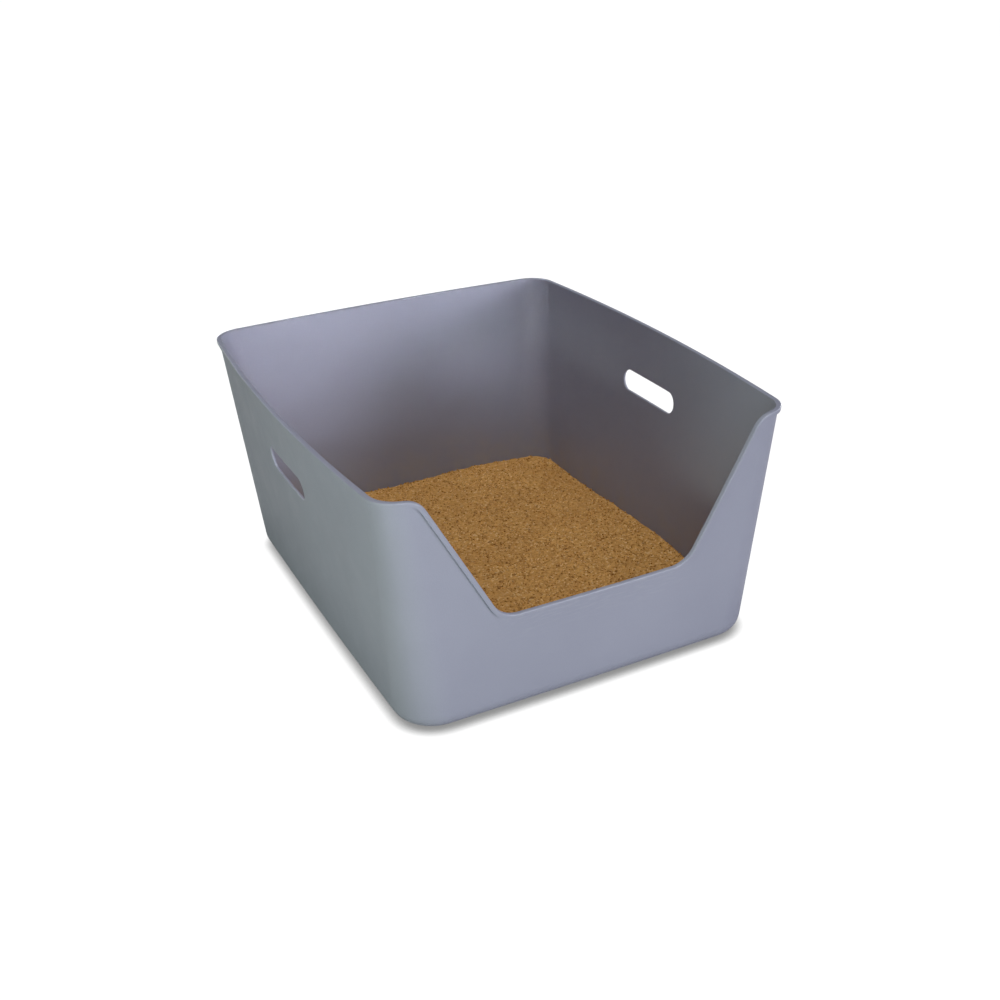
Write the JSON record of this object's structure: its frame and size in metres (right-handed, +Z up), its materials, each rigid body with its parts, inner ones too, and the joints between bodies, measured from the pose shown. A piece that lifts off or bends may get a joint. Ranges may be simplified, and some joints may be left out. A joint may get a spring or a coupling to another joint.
{
  "type": "litter tray",
  "caption": "High-sided open tray with bulging tapered walls, a low-cut front entry, a rolled rim bead, a hand slot in each side wall and a bed of loose litter.",
  "frame": {"origin": "on the ground under the middle of the overall width and length", "axes": "+Z up, the low-cut entry wall faces -Y, +X to the right seen from the entry"},
  "size_m": [0.4496, 0.5302, 0.256],
  "materials": {
    "tray_plastic": "satin grey moulded polypropylene",
    "litter": "loose plant-based granules"
  },
  "bodies": {
    "root": {"tray": "tray_plastic", "litter_bed": "litter"}
  },
  "joints": []
}
